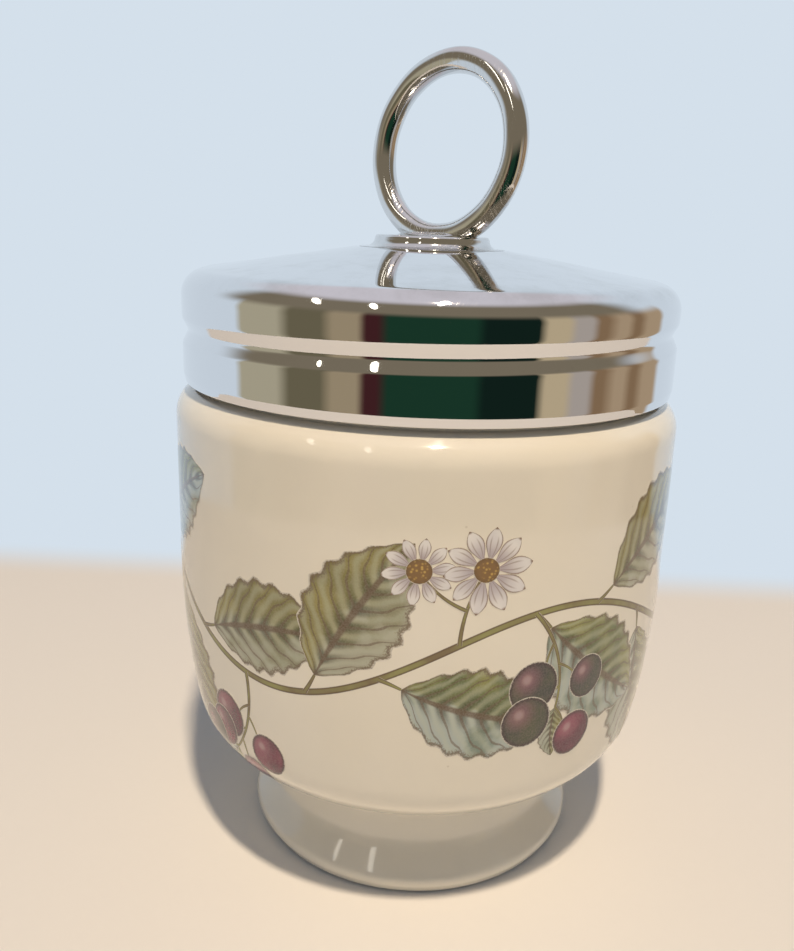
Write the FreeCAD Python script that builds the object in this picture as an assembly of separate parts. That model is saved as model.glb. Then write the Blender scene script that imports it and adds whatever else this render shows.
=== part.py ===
"""Egg coddler: a porcelain cup on a flared foot, closed by a screw-on metal lid with a lifting ring.

All lengths are millimetres and +Z is up. The origin is the centre of the foot, on the surface
that the cup stands on. The lifting ring lies in the XZ plane, so +X runs along the ring.
"""
import FreeCAD, Part
import math
import os

Vector = FreeCAD.Vector

# Porcelain cup, outside
cup_radius = 31.0
side_top_z = 57.6
foot_radius = 22.0
foot_edge_z = 2.0
foot_base_radius = 21.2
foot_cove_radius = 19.1
foot_cove_z = 5.1
waist_radius = 18.4
waist_z = 8.9
hip_radius = 28.9
hip_z = 16.8
hip_round = 8.2
belly_z = 28.9
belly_round = 104.0
shoulder_rise = 2.0
shoulder_round = 3.4

# Porcelain cup, inside and underneath
cup_wall = 3.2
floor_thickness = 5.4
recess_depth = 3.2
recess_radius = 16.6
foot_land_radius = 17.6
inner_shoulder_drop = 8.0

# Cup neck and rim
neck_step = 2.8
rim_round = 1.2
rim_gap = 0.15

# Pressed lid
neck_play = 1.3
lid_sheet = 0.5
lid_curl = 0.2
lid_curl_height = 1.0
lid_edge_gap = 0.6
skirt_height = 12.4
lid_shoulder_round = 3.0
crown_break_radius = 24.0
crown_break_rise = 1.0
crown_rise = 3.4
crown_round = 60.0
seat_margin = 0.4

# Thread: a groove rolled into the lid, and a moulded ridge on the neck
thread_lead = 3.0
groove_round = 1.3
groove_depth = 0.65
groove_turns = 1.06
groove_height = 6.45
groove_front_angle = -50.0
ridge_round = 0.85
ridge_turns = 0.86
thread_taper = 26.0

# Lifting ring, boss and rivet
ring_wire = 3.0
ring_bore = 17.0
ring_offset = 0.75
ring_lean = 5.5
ring_flat = 0.65
boss_base_radius = 8.9
boss_top_radius = 6.9
boss_height = 1.45
rivet_radius = 2.0
rivet_head_radius = 3.4
rivet_head_height = 0.6
rivet_tail_radius = 3.5
rivet_tail_height = 1.0
washer_radius = 6.0
washer_thickness = 0.8
fit_clearance = 0.05

# Sizes that follow from the ones above
shoulder_z = side_top_z + shoulder_rise
neck_radius = cup_radius - neck_step
mouth_radius = neck_radius - cup_wall
lid_radius = neck_radius + neck_play + lid_sheet
lid_edge_z = shoulder_z + lid_edge_gap
lid_shoulder_z = lid_edge_z + skirt_height
groove_front_z = lid_edge_z + groove_height
seat_radius = boss_base_radius + seat_margin
crown_seat_z = lid_shoulder_z + crown_rise
crown_under_z = crown_seat_z - lid_sheet
ring_radius = (ring_bore + ring_wire) / 2
ring_flat_z = crown_seat_z + rivet_head_height
ring_centre_z = ring_flat_z - ring_flat + ring_radius + ring_wire / 2
washer_top_z = crown_under_z - fit_clearance
washer_bottom_z = washer_top_z - washer_thickness
tail_top_z = washer_bottom_z - fit_clearance
tail_bottom_z = tail_top_z - rivet_tail_height


def rounded_profile(corners):
    """Closed wire in the XZ plane through corners (r, z, corner radius), with tangent arcs."""
    points = [Vector(r, 0, z) for r, z, corner in corners]
    ends = []
    for i, (r, z, corner) in enumerate(corners):
        to_last = (points[i - 1] - points[i]).normalize()
        to_next = (points[(i + 1) % len(points)] - points[i]).normalize()
        if corner == 0:
            ends.append((points[i], None, points[i]))
            continue
        half = to_last.getAngle(to_next) / 2
        reach = corner / math.tan(half)
        middle = (to_last + to_next).normalize()
        centre = points[i] + middle * (corner / math.sin(half))
        ends.append((points[i] + to_last * reach, centre - middle * corner, points[i] + to_next * reach))
    edges = []
    for i, (start, mid, end) in enumerate(ends):
        if mid is not None:
            edges.append(Part.Arc(start, mid, end).toShape())
        following = ends[(i + 1) % len(ends)][0]
        if (following - end).Length > 1e-6:
            edges.append(Part.LineSegment(end, following).toShape())
    return Part.Wire(edges)


def turned(corners):
    """Solid of revolution about Z from a closed profile."""
    face = Part.Face(rounded_profile(corners))
    return face.revolve(Vector(0, 0, 0), Vector(0, 0, 1), 360)


def crossing(a, b, c, d):
    """Point where the line through a and b meets the line through c and d, as (r, z)."""
    ab = (b[0] - a[0], b[1] - a[1])
    cd = (d[0] - c[0], d[1] - c[1])
    across = ab[0] * cd[1] - ab[1] * cd[0]
    along = ((c[0] - a[0]) * cd[1] - (c[1] - a[1]) * cd[0]) / across
    return (a[0] + ab[0] * along, a[1] + ab[1] * along)


def shifted(a, b, distance):
    """The line through a and b, moved to its left by distance."""
    length = math.hypot(b[0] - a[0], b[1] - a[1])
    left = (-(b[1] - a[1]) / length * distance, (b[0] - a[0]) / length * distance)
    return (a[0] + left[0], a[1] + left[1]), (b[0] + left[0], b[1] + left[1])


def crown_outer(radius):
    """Height of the lid's crown at a radius, on the straight lines of its profile."""
    break_z = lid_shoulder_z + crown_break_rise
    if radius >= crown_break_radius:
        share = (lid_radius - radius) / (lid_radius - crown_break_radius)
        return lid_shoulder_z + crown_break_rise * share
    share = (crown_break_radius - radius) / (crown_break_radius - seat_radius)
    return break_z + (crown_seat_z - break_z) * min(share, 1)


def thread_coil(centre_radius, section_round, middle_z, turns, withdraw):
    """Tapered helical coil of round section: each end swings out radially by withdraw and dies away."""
    half_sweep = turns * 180.0
    steps = int(round(2 * half_sweep / 12.0))
    sections = []
    for i in range(steps + 1):
        angle = -half_sweep + 2 * half_sweep * i / steps
        from_end = half_sweep - abs(angle)
        share = min(from_end / thread_taper, 1.0)
        radius = centre_radius + withdraw * (1 - math.sin(share * math.pi / 2))
        turn = math.radians(groove_front_angle + angle)
        z = middle_z + thread_lead * angle / 360.0
        centre = Vector(radius * math.cos(turn), radius * math.sin(turn), z)
        along = Vector(-math.sin(turn), math.cos(turn), 0)
        circle = Part.Circle(centre, along, section_round)
        circle.XAxis = Vector(math.cos(turn), math.sin(turn), 0)
        sections.append(Part.Wire([circle.toShape()]))
    return Part.makeLoft(sections, True, False)


def porcelain_cup():
    """Bowl, flared foot and neck in one fired piece, with a moulded thread ridge on the neck."""
    rim_z = crown_outer(neck_radius) - lid_sheet - rim_gap
    floor_z = recess_depth + floor_thickness
    waist = (waist_radius, waist_z)
    hip = (hip_radius, hip_z)
    belly = (cup_radius, belly_z)
    side = (cup_radius, side_top_z)
    cone_in = shifted(waist, hip, cup_wall)
    taper_in = shifted(hip, belly, cup_wall)
    side_in = shifted(belly, side, cup_wall)
    floor_corner = crossing(cone_in[0], cone_in[1], (0, floor_z), (1, floor_z))
    hip_in = crossing(cone_in[0], cone_in[1], taper_in[0], taper_in[1])
    belly_in = crossing(taper_in[0], taper_in[1], side_in[0], side_in[1])
    shoulder_start = side_top_z - inner_shoulder_drop
    shoulder_corner = shoulder_round * math.tan(math.pi / 8)
    solid = turned([
        (0, recess_depth, 0),
        (recess_radius, recess_depth, 0.8),
        (foot_land_radius, 0, 0.5),
        (foot_base_radius, 0, 0.9),
        (foot_radius + 0.25, foot_edge_z, 1.3),
        (foot_cove_radius, foot_cove_z, 3.0),
        (waist_radius, waist_z, 0.9),
        (hip_radius, hip_z, hip_round),
        (cup_radius, belly_z, belly_round),
        (cup_radius, side_top_z, shoulder_round),
        (cup_radius - shoulder_round + shoulder_corner, shoulder_z, shoulder_round * 0.45),
        (neck_radius, shoulder_z, 0.15),
        (neck_radius, rim_z, rim_round),
        (mouth_radius, rim_z, rim_round),
        (mouth_radius, shoulder_z, 9.0),
        (side_in[0][0], shoulder_start, 9.0),
        (belly_in[0], belly_in[1], belly_round - cup_wall),
        (hip_in[0], hip_in[1], hip_round - cup_wall),
        (floor_corner[0], floor_corner[1], 14.0),
        (0, floor_z, 0),
    ])
    ridge = thread_coil(neck_radius, ridge_round, groove_front_z + thread_lead / 2, ridge_turns, -ridge_round)
    return solid.fuse(ridge).removeSplitter()


def lid_shell():
    """One pressed sheet: skirt with a rolled screw groove, rounded shoulder, low crown and flat seat."""
    seat_corner = (seat_radius, crown_seat_z)
    break_corner = (crown_break_radius, lid_shoulder_z + crown_break_rise)
    shoulder = (lid_radius, lid_shoulder_z)
    skirt = (lid_radius, lid_edge_z)
    seat_in = shifted((0, crown_seat_z), seat_corner, -lid_sheet)
    inner_in = shifted(seat_corner, break_corner, -lid_sheet)
    outer_in = shifted(break_corner, shoulder, -lid_sheet)
    skirt_in = shifted(shoulder, skirt, -lid_sheet)
    seat_low = crossing(seat_in[0], seat_in[1], inner_in[0], inner_in[1])
    break_low = crossing(inner_in[0], inner_in[1], outer_in[0], outer_in[1])
    shoulder_low = crossing(outer_in[0], outer_in[1], skirt_in[0], skirt_in[1])
    hole = rivet_radius + fit_clearance
    curl_top_z = lid_edge_z + lid_curl_height
    sheet = turned([
        (hole, crown_seat_z, 0),
        (seat_corner[0], seat_corner[1], 1.5),
        (break_corner[0], break_corner[1], crown_round),
        (shoulder[0], shoulder[1], lid_shoulder_round),
        (lid_radius, curl_top_z, 0.8),
        (lid_radius - lid_curl, lid_edge_z, 0.12),
        (lid_radius - lid_curl - lid_sheet, lid_edge_z, 0.12),
        (lid_radius - lid_sheet, curl_top_z, 0.8),
        (shoulder_low[0], shoulder_low[1], lid_shoulder_round - lid_sheet),
        (break_low[0], break_low[1], crown_round - lid_sheet),
        (seat_low[0], seat_low[1], 1.0),
        (hole, crown_under_z, 0),
    ])
    centre_radius = lid_radius + groove_round - groove_depth
    bead = thread_coil(centre_radius, groove_round + lid_sheet, groove_front_z, groove_turns, groove_depth + 0.02)
    groove = thread_coil(centre_radius, groove_round, groove_front_z, groove_turns, groove_depth + 0.02)
    drum = Part.makeCylinder(lid_radius - lid_sheet / 2, lid_shoulder_z - lid_edge_z, Vector(0, 0, lid_edge_z))
    return sheet.fuse(bead.common(drum)).cut(groove).removeSplitter()


def lifting_ring():
    """Closed ring of round wire on edge, leaning about its foot, which is flattened and brazed down."""
    centre = Vector(ring_offset, 0, ring_centre_z)
    torus = Part.makeTorus(ring_radius, ring_wire / 2, centre, Vector(0, 1, 0))
    torus.rotate(Vector(0, 0, ring_flat_z), Vector(1, 0, 0), -ring_lean)
    width = 2 * ring_radius + 2 * ring_wire
    corner = Vector(ring_offset - width / 2, -width / 2, ring_flat_z)
    above = Part.makeBox(width, width, width, corner)
    return torus.common(above)


def ring_boss():
    """Low turned disc on the crown, hollowed below for the rivet's head and notched for the ring."""
    top_z = crown_seat_z + boss_height
    disc = turned([
        (0, crown_seat_z, 0),
        (boss_base_radius, crown_seat_z, 0),
        (boss_base_radius, crown_seat_z + 0.2, 0),
        (boss_top_radius + 0.25, crown_seat_z + 0.55, 0.85),
        (boss_top_radius, top_z, 0.5),
        (0, top_z, 0),
    ])
    head_room = Part.makeCylinder(rivet_head_radius, ring_flat_z - crown_seat_z, Vector(0, 0, crown_seat_z))
    return disc.cut(head_room).cut(lifting_ring())


def ring_rivet():
    """Rivet whose head sits under the ring and whose tail is set over the washer inside the lid."""
    return turned([
        (0, ring_flat_z, 0),
        (rivet_head_radius, ring_flat_z, 0),
        (rivet_head_radius, crown_seat_z, 0),
        (rivet_radius, crown_seat_z, 0),
        (rivet_radius, tail_top_z, 0),
        (rivet_tail_radius, tail_top_z, 0),
        (rivet_tail_radius - 0.3, tail_bottom_z, 0.6),
        (0, tail_bottom_z, 0),
    ])


def backing_washer():
    """Round washer between the crown and the rivet's tail."""
    bore = rivet_radius + fit_clearance
    return turned([
        (bore, washer_bottom_z, 0),
        (washer_radius, washer_bottom_z, 0.2),
        (washer_radius, washer_top_z, 0.2),
        (bore, washer_top_z, 0),
    ])


def main():
    os.makedirs("parts", exist_ok=True)
    makers = [porcelain_cup, lid_shell, ring_boss, lifting_ring, ring_rivet, backing_washer]
    for make in makers:
        shape = make()
        shape.exportStep("parts/" + make.__name__ + ".step")
        box = shape.optimalBoundingBox(True)
        print(make.__name__, "solids", len(shape.Solids), "valid", shape.isValid(),
              "volume %.1f" % shape.Volume, "z %.2f to %.2f" % (box.ZMin, box.ZMax))


main()
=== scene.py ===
# %% [markdown]
# A porcelain egg coddler is a small straight-sided cup on a flared foot, with a polished screw lid
# and a ring to lift it out of hot water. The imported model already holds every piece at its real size.
# This lesson loads it as a fixed frame and dresses it: glazed porcelain, mirror-bright metal, and a
# fired floral print. All lengths below are written in millimetres and turned into metres by MM.

import math

import bmesh
import bpy
import numpy as np
from mathutils import Matrix, Vector


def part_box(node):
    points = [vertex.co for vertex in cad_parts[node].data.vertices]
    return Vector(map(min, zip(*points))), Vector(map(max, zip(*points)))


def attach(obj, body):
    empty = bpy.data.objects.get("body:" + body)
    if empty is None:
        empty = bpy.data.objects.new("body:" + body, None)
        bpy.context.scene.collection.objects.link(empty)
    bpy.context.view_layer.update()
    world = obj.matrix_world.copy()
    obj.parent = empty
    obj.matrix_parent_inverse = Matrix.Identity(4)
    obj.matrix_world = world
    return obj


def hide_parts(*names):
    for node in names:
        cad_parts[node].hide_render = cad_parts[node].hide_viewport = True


MM = 0.001
TURN = 2 * math.pi

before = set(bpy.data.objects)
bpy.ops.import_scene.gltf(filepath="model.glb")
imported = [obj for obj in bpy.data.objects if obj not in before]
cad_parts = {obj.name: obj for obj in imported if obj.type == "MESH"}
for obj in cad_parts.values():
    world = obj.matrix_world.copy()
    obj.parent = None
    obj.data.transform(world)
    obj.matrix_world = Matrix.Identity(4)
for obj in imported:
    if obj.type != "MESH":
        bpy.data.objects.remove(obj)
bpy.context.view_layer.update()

# %% [markdown]
# The camera stands close, a little above the lid, and looks down. It was found by fitting the outlines
# of the foot, the cup and the lid as circles in perspective. Its place is given by how far it stands
# from the cup's axis, how high, and how far round from the ring's plane, and its aim by a small turn
# to the side, a pitch and a roll. The focal length is in pixels of a picture 951 pixels high.

# %% Place the camera
PICTURE_WIDTH = 794
PICTURE_HEIGHT = 951
FRONT = math.radians(-50.0)
CAMERA_REACH = 110.4 * MM
CAMERA_HEIGHT = 78.7 * MM
AIM_SIDE = math.radians(-1.32)
AIM_DOWN = math.radians(15.63)
AIM_ROLL = math.radians(1.95)
FOCAL_PIXELS = 874.3
CENTRE_PIXEL = (403.5, 468.9)
SENSOR = 36.0

ACROSS = Vector((-math.sin(FRONT), math.cos(FRONT), 0.0))
TOWARDS = Vector((math.cos(FRONT), math.sin(FRONT), 0.0))


def place_camera():
    """Right, up and back axes: yaw and pitch first, then right and up turned about the line of sight."""
    ahead_level = -TOWARDS * math.cos(AIM_SIDE) + ACROSS * math.sin(AIM_SIDE)
    ahead = ahead_level * math.cos(AIM_DOWN) - Vector((0, 0, 1)) * math.sin(AIM_DOWN)
    right = ahead.cross(Vector((0, 0, 1))).normalized()
    up = right.cross(ahead)
    rolled_right = right * math.cos(AIM_ROLL) + up * math.sin(AIM_ROLL)
    rolled_up = up * math.cos(AIM_ROLL) - right * math.sin(AIM_ROLL)
    camera = bpy.data.objects.new("camera", bpy.data.cameras.new("camera"))
    axes = Matrix((rolled_right, rolled_up, -ahead)).transposed().to_4x4()
    camera.matrix_world = Matrix.Translation(TOWARDS * CAMERA_REACH + Vector((0, 0, CAMERA_HEIGHT))) @ axes
    camera.data.sensor_width = SENSOR
    camera.data.lens = FOCAL_PIXELS / PICTURE_HEIGHT * SENSOR
    camera.data.shift_x = (PICTURE_WIDTH / 2 - CENTRE_PIXEL[0]) / PICTURE_HEIGHT
    camera.data.shift_y = (CENTRE_PIXEL[1] - PICTURE_HEIGHT / 2) / PICTURE_HEIGHT
    camera.data.clip_start = 5 * MM
    camera.data.clip_end = 20.0
    bpy.context.scene.collection.objects.link(camera)
    bpy.context.scene.camera = camera
    return camera


camera = place_camera()
print("camera stands at", [round(v / MM, 1) for v in camera.location], "mm, lens", round(camera.data.lens, 2))

# %% [markdown]
# Most pieces here are worked out as whole arrays of points on a grid of two parameters. One helper
# turns such a grid into a mesh. It can close the grid round on itself in either direction, and it can
# seal the first and last row with a single pole. A second helper lists the quads between neighbours.

# %% Turn a grid of points into a mesh
def grid_faces(rows, columns, wrap_rows, wrap_columns):
    """Quads between neighbours: each face joins (i, j), (i, j+1), (i+1, j+1) and (i+1, j)."""
    i = np.arange(rows if wrap_rows else rows - 1)
    j = np.arange(columns if wrap_columns else columns - 1)
    i, j = np.meshgrid(i, j, indexing="ij")
    below = (i + 1) % rows
    beside = (j + 1) % columns
    corners = [i * columns + j, i * columns + beside, below * columns + beside, below * columns + j]
    return np.stack(corners, axis=-1).reshape(-1, 4)


def make_piece(name, points, wrap_rows=False, wrap_columns=False, pole_first=None, pole_last=None):
    """Mesh object from a grid of points in millimetres, smooth shaded, with poles as fans of triangles."""
    rows, columns = points.shape[:2]
    places = points.reshape(-1, 3)
    faces = grid_faces(rows, columns, wrap_rows, wrap_columns).tolist()
    ring = np.arange(columns)
    after = (ring + 1) % columns
    if pole_first is not None:
        pole = np.full(columns, len(places))
        faces += np.stack([pole, after, ring], axis=-1).tolist()
        places = np.vstack([places, pole_first])
    if pole_last is not None:
        pole = np.full(columns, len(places))
        last = (rows - 1) * columns
        faces += np.stack([pole, last + ring, last + after], axis=-1).tolist()
        places = np.vstack([places, pole_last])
    mesh = bpy.data.meshes.new(name)
    mesh.from_pydata((places * MM).tolist(), [], faces)
    mesh.polygons.foreach_set("use_smooth", np.ones(len(mesh.polygons), dtype=bool))
    mesh.update()
    piece = bpy.data.objects.new(name, mesh)
    bpy.context.scene.collection.objects.link(piece)
    return piece


# %% [markdown]
# The cup and the lid are both turned shapes, so their outlines are drawn as a few corners, each with
# the radius that rounds it. Between corners the outline runs straight, and at a corner it follows an
# arc that is tangent to both runs. That is how a mould maker dimensions such a profile.

# %% Round the corners of an outline
ARC_STEP = math.radians(5.0)


def rounded_outline(corners, spacing, closed=False):
    """Points (r, z) along straight runs and tangent arcs, cut into steps of about spacing or five degrees.

    A corner is (r, z, radius). A fourth value, where there is one, is the spacing of the run that follows.
    """
    marks = np.array([corner[:2] for corner in corners], dtype=float)
    count = len(marks)
    stretches = []
    for k in range(count):
        here = marks[k]
        radius = corners[k][2]
        inner = closed or 0 < k < count - 1
        if radius == 0 or not inner:
            stretches.append(here[None, :])
            continue
        back = marks[k - 1] - here
        onward = marks[(k + 1) % count] - here
        back = back / np.linalg.norm(back)
        onward = onward / np.linalg.norm(onward)
        half = math.acos(np.clip(back @ onward, -1, 1)) / 2
        middle = (back + onward) / np.linalg.norm(back + onward)
        centre = here + middle * radius / math.sin(half)
        swing = math.pi / 2 - half
        steps = 2 + int(max(2 * swing / ARC_STEP, 2 * swing * radius / spacing))
        sweep = np.linspace(-swing, swing, steps)[:, None]
        side = (onward - back) / np.linalg.norm(onward - back)
        stretches.append(centre - middle * radius * np.cos(sweep) + side * radius * np.sin(sweep))
    outline = [stretches[0]]
    for k in range(1, count + (1 if closed else 0)):
        start = outline[-1][-1]
        end = stretches[k % count][0]
        run_spacing = corners[k - 1][3] if len(corners[k - 1]) > 3 else spacing
        steps = max(int(np.linalg.norm(end - start) / run_spacing), 1)
        between = np.linspace(0, 1, steps + 1)[1:-1, None]
        outline.append(start + (end - start) * between)
        if k < count:
            outline.append(stretches[k])
    points = np.vstack([part for part in outline if len(part)])
    keep = np.ones(len(points), dtype=bool)
    keep[1:] = np.linalg.norm(np.diff(points, axis=0), axis=1) > 1e-5
    return points[keep]


def spin(outline, columns):
    """Turn an outline about the cup's axis: x = r cos, y = r sin, with columns counted round the axis."""
    angle = np.linspace(0, TURN, columns, endpoint=False)
    radius = outline[:, 0][:, None]
    height = np.repeat(outline[:, 1][:, None], columns, axis=1)
    return np.stack([radius * np.cos(angle), radius * np.sin(angle), height], axis=-1), angle


# %% [markdown]
# A coddler's lid screws down. The groove that is rolled into the skirt climbs to the right, as on an
# ordinary jar, and dies away where its two ends pass each other at the back. A rolling wheel leaves it
# with two straight flanks: the upper one looks down at the table and shines, and the lower one looks up
# into the room. The cup's neck has a moulded round ridge half a pitch higher, and the groove's inside
# slides below it. Both follow the same helix, so one function measures how far any point lies from it.

# %% Measure from the screw's helix
THREAD_LEAD = 3.0
GROOVE_FRONT_Z = 66.65
GROOVE_SWEEP = math.radians(1.06 * 180)
RIDGE_SWEEP = math.radians(0.86 * 180)
THREAD_TAPER = math.radians(26)


def round_bead(distance, radius, height):
    """Height of a round bead over a wall: a circle's cap, with its edges eased by a smooth maximum."""
    cap = np.sqrt(np.maximum(radius ** 2 - distance ** 2, 0)) - (radius - height)
    ease = 0.14
    smooth = 0.5 * (cap + np.sqrt(cap ** 2 + ease ** 2))
    floor = 0.5 * (-(radius - height) + math.hypot(radius - height, ease))
    return np.maximum(smooth - floor, 0)


def rolled_vee(distance, reach, depth):
    """Depth of a rolled groove: straight flanks down to a rounded bottom, with both lips eased."""
    bottom = 0.25
    lip = 0.10
    fall = depth * (1 - (np.sqrt(distance ** 2 + bottom ** 2) - bottom) / reach)
    return 0.5 * (fall + np.sqrt(fall ** 2 + lip ** 2))


def helix_bump(angle, height, middle_z, sweep, section, reach, depth):
    """A section carried along the helix: the largest over the turns that pass, tapered at both ends."""
    from_front = (angle - FRONT + math.pi) % TURN - math.pi
    best = np.zeros(np.broadcast(angle, height).shape)
    for turn in (-1, 0, 1):
        along = from_front + TURN * turn
        fade = np.clip((sweep - np.abs(along)) / THREAD_TAPER, 0, 1)
        centre = middle_z + THREAD_LEAD * along / TURN
        best = np.maximum(best, section(height - centre, reach, depth) * np.sin(fade * math.pi / 2))
    return best


# %% [markdown]
# The porcelain is one closed skin: up the outside from the recess under the foot, over the rim, and
# down the inside to the bottom of the bowl. The CAD solid is the same shape, but its skin is made of
# flat facets that would show as kinks in the glaze's reflections, so a finer skin stands for it.

# %% Shape the cup
CUP_RADIUS = 31.0
NECK_RADIUS = 28.2
RIM_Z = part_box("porcelain_cup")[1].z / MM
FOOT_CORNERS = [(16.6, 3.2, 0.8), (17.6, 0, 0.5), (21.2, 0, 0.9), (22.25, 2.0, 1.3), (19.1, 5.1, 3.0)]
BELLY_CORNERS = [(18.4, 8.9, 0.9), (28.9, 16.8, 8.2), (CUP_RADIUS, 28.9, 104.0)]
SHOULDER_CORNERS = [(CUP_RADIUS, 57.6, 3.4), (29.008, 59.6, 1.53)]
NECK_CORNERS = [(NECK_RADIUS, 59.6, 0.15), (NECK_RADIUS, RIM_Z, 1.2)]
INSIDE_CORNERS = [(25.0, RIM_Z, 1.2), (25.0, 59.6, 9.0), (27.8, 49.6, 9.0), (27.8, 29.2, 100.8),
                  (25.9, 18.6, 5.0), (13.5, 8.6, 14.0)]
RECESS_Z = 3.2
FLOOR_Z = 8.6

outer_outline = rounded_outline(FOOT_CORNERS + BELLY_CORNERS + SHOULDER_CORNERS + NECK_CORNERS, 0.7)


def shape_cup():
    """Closed skin of revolution, with the neck's ridge added to the radius where the helix passes."""
    corners = [(0.5, RECESS_Z, 0)] + FOOT_CORNERS + BELLY_CORNERS + SHOULDER_CORNERS + NECK_CORNERS
    corners += INSIDE_CORNERS + [(0.5, FLOOR_Z, 0)]
    points, angle = spin(rounded_outline(corners, 0.7), 240)
    radius = np.hypot(points[..., 0], points[..., 1])
    on_neck = (radius > NECK_RADIUS - 1.3) & (points[..., 2] > 60)
    ridge_z = GROOVE_FRONT_Z + THREAD_LEAD / 2
    ridge = helix_bump(angle[None, :], points[..., 2], ridge_z, RIDGE_SWEEP, round_bead, 0.85, 0.83)
    grown = (radius + ridge * on_neck) / radius
    points[..., :2] *= grown[..., None]
    return make_piece("cup_glazed_skin", points, wrap_columns=True,
                      pole_first=(0, 0, RECESS_Z), pole_last=(0, 0, FLOOR_Z))


cup = shape_cup()
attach(cup, "cup")
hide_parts("porcelain_cup")
print("cup skin has", len(cup.data.polygons), "faces, rim at", round(RIM_Z, 2))

# %% [markdown]
# The lid is one pressed sheet. Its outline runs from the rivet hole out over the low crown, round the
# shoulder, down the skirt to an edge that curls slightly inwards, and back up inside at one sheet's
# thickness. The screw groove presses both faces inwards by the same amount, so the sheet stays equally
# thick. The skirt's rows lie close together, because a mirror shows every step in its slope.

# %% Shape the lid
LID_RADIUS = 30.0
LID_SHEET = 0.5
LID_EDGE_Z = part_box("lid_shell")[0].z / MM
SEAT_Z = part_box("lid_shell")[1].z / MM
SHOULDER_Z = LID_EDGE_Z + 12.4
CURL_Z = LID_EDGE_Z + 1.0
RIVET_HOLE = 2.05
GROOVE_REACH = 1.2
GROOVE_DEPTH = 0.65


def shape_lid():
    """Closed skin of revolution; on the skirt the radius drops by the groove's depth on both faces."""
    outside = [(RIVET_HOLE, SEAT_Z, 0), (9.3, SEAT_Z, 1.5), (24.0, SHOULDER_Z + 1.0, 60.0),
               (LID_RADIUS, SHOULDER_Z, 3.0, 0.15)]
    edge = [(LID_RADIUS, CURL_Z, 0.8, 0.2), (LID_RADIUS - 0.2, LID_EDGE_Z, 0.12),
            (LID_RADIUS - 0.7, LID_EDGE_Z, 0.12, 0.2), (LID_RADIUS - LID_SHEET, CURL_Z, 0.8, 0.2)]
    inside = [(LID_RADIUS - LID_SHEET, SHOULDER_Z - 0.42, 2.5), (23.95, SHOULDER_Z + 0.49, 59.5),
              (9.26, SEAT_Z - LID_SHEET, 1.0), (RIVET_HOLE, SEAT_Z - LID_SHEET, 0)]
    points, angle = spin(rounded_outline(outside + edge + inside, 0.7, closed=True), 240)
    radius = np.hypot(points[..., 0], points[..., 1])
    groove = helix_bump(angle[None, :], points[..., 2], GROOVE_FRONT_Z, GROOVE_SWEEP, rolled_vee,
                        GROOVE_REACH, GROOVE_DEPTH)
    on_skirt = np.clip((radius - LID_RADIUS + 2) / 1.0, 0, 1)
    pressed = (radius - groove * on_skirt) / radius
    points[..., :2] *= pressed[..., None]
    return make_piece("lid_pressed_skin", points[:, ::-1], wrap_rows=True, wrap_columns=True)


lid = shape_lid()
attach(lid, "lid")
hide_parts("lid_shell")
print("lid skin has", len(lid.data.polygons), "faces, edge at", round(LID_EDGE_Z, 2),
      "seat at", round(SEAT_Z, 2))

# %% [markdown]
# The ring is a piece of round wire, bent to a circle, ground flat at its foot and brazed to a low disc
# on the crown. It was not set quite upright: it leans back about its foot by a few degrees and stands a
# little to one side. The wire swells by a few hundredths of a millimetre where it was hammered shut, and
# the braze has drawn up against it as a soft fillet on the disc's top.

# %% Shape the ring and its disc
RING_LOW, RING_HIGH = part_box("lifting_ring")
RING_WIRE = 3.0
RING_LEAN = math.radians(5.5)
RING_SINK = 0.65
RING_CENTRE_X = (RING_LOW.x + RING_HIGH.x) / 2 / MM
RING_RADIUS = (RING_HIGH.x - RING_LOW.x) / 2 / MM - RING_WIRE / 2
RING_FLAT_Z = RING_LOW.z / MM
BOSS_TOP_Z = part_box("ring_boss")[1].z / MM
BOSS_BASE_RADIUS = 8.9
BOSS_TOP_RADIUS = 6.9


def shape_ring():
    """Torus leaning about its foot: x across the ring, up from its flat, then both tipped by the lean."""
    round_ring = np.linspace(0, TURN, 176, endpoint=False)[:, None]
    round_wire = np.linspace(0, TURN, 40, endpoint=False)[None, :]
    uneven = 0.018 * np.sin(3 * round_ring + 0.7) + 0.012 * np.sin(11 * round_ring + 2 * round_wire)
    wire = RING_WIRE / 2 - 0.03 + uneven
    reach = RING_RADIUS + wire * np.cos(round_wire)
    x = RING_CENTRE_X + reach * np.sin(round_ring)
    aside = wire * np.sin(round_wire) + 0 * round_ring
    up = RING_RADIUS + RING_WIRE / 2 - RING_SINK - reach * np.cos(round_ring)
    y = aside * math.cos(RING_LEAN) + up * math.sin(RING_LEAN)
    z = RING_FLAT_Z + np.maximum(up * math.cos(RING_LEAN) - aside * math.sin(RING_LEAN), 0)
    return make_piece("ring_wire", np.stack([x, y, z], axis=-1), wrap_rows=True, wrap_columns=True)


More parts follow.
